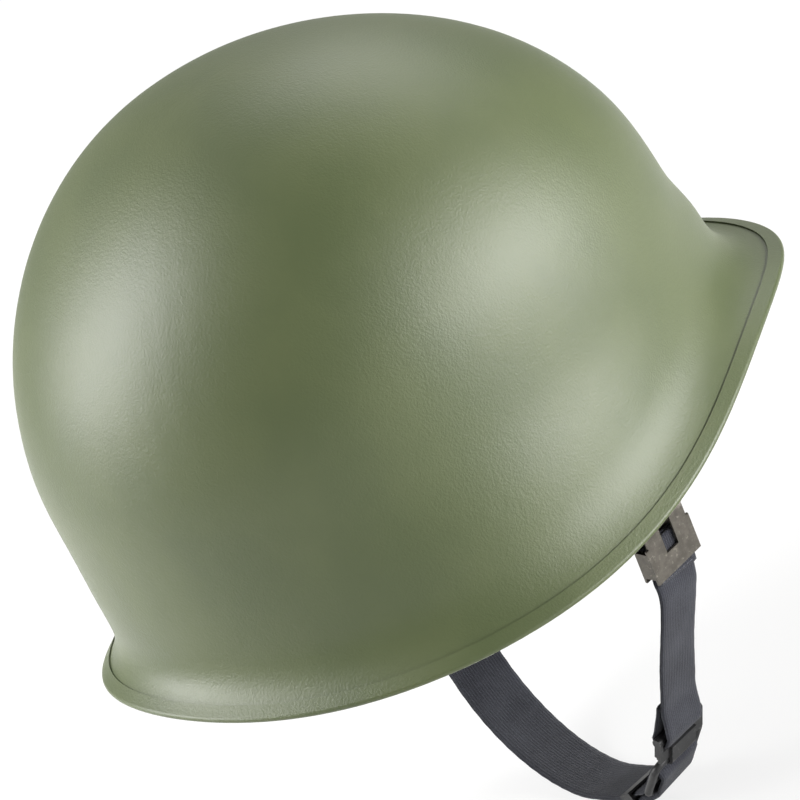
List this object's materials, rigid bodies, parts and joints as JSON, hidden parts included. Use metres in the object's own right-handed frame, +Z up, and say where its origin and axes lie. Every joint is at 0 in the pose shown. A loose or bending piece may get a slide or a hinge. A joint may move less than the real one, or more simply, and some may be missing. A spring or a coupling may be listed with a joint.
{
  "type": "steel pot helmet",
  "caption": "Deep-domed olive steel helmet with a flared visor rim over a separate liner with webbing suspension, and a closed webbing chin strap on hinged bails.",
  "frame": {"origin": "centre of the helmet opening at ear height, where it sits around the wearer's head; z = 0 is the rim edge at the sides", "axes": "+Z up through the crown, -Y to the front (the visor), +X to the wearer's left"},
  "size_m": [0.2376, 0.2794, 0.2947],
  "materials": {
    "olive_paint": "satin olive green paint with a fine sand texture",
    "dark_metal": "dark olive enamel",
    "gun_metal": "dull brown-grey phosphated steel",
    "black_metal": "worn black enamel",
    "grey_webbing": "slate grey woven webbing",
    "olive_webbing": "olive woven webbing",
    "liner_laminate": "matt laminate, fabric grain",
    "brown_leather": "smooth brown leather"
  },
  "bodies": {
    "helmet_shell": {"outer_shell": "olive_paint", "rim_edging": "olive_paint", "bail_bracket_right": "olive_paint", "bail_bracket_left": "olive_paint"},
    "right_bail": {"bail_right": "gun_metal"},
    "left_bail": {"bail_left": "gun_metal"},
    "chin_strap": {"strap_clip_right": "gun_metal", "strap_clip_left": "gun_metal", "chin_strap_short": "grey_webbing", "chin_strap_long": "grey_webbing", "strap_hook": "black_metal", "strap_buckle": "black_metal", "strap_tip": "black_metal"},
    "keeper": {"strap_keeper": "black_metal"},
    "liner": {"liner_shell": "liner_laminate", "liner_eyelet": "black_metal", "suspension_yokes": "dark_metal", "yoke_rivets": "dark_metal", "headband_webbing": "olive_webbing", "crown_web_1": "olive_webbing", "crown_web_2": "olive_webbing", "crown_web_3": "olive_webbing", "sweatband": "brown_leather", "sweatband_clips": "dark_metal", "sweatband_buckle": "dark_metal", "nape_strap": "olive_webbing", "nape_studs": "dark_metal", "liner_strap_studs": "dark_metal"}
  },
  "joints": [
    {"name": "liner_slide", "type": "slide", "parent": "helmet_shell", "child": "liner", "axis": [0, 0, -1], "range_m": [0, 0.014]},
    {"name": "strap_sway", "type": "slide", "parent": "helmet_shell", "child": "chin_strap", "axis": [1, 0, 0], "range_m": [-0.0025, 0.0025]},
    {"name": "right_bail_hinge", "type": "hinge", "parent": "helmet_shell", "child": "right_bail", "pos_m": [-0.10681, -0.02117, 0.00814], "axis": [0.2444, -0.9697, 0], "range_deg": [-18, 18]},
    {"name": "left_bail_hinge", "type": "hinge", "parent": "helmet_shell", "child": "left_bail", "pos_m": [0.10681, -0.02117, 0.00814], "axis": [-0.2444, -0.9697, 0], "range_deg": [-18, 18]},
    {"name": "keeper_slide", "type": "slide", "parent": "chin_strap", "child": "keeper", "axis": [0.9345, 0.0643, -0.3501], "range_m": [-0.005, 0.005]}
  ],
  "couplings": [
    {"joint": "right_bail_hinge", "follows": "strap_sway", "rad_per_m": 121.2},
    {"joint": "left_bail_hinge", "follows": "strap_sway", "rad_per_m": 121.2}
  ]
}
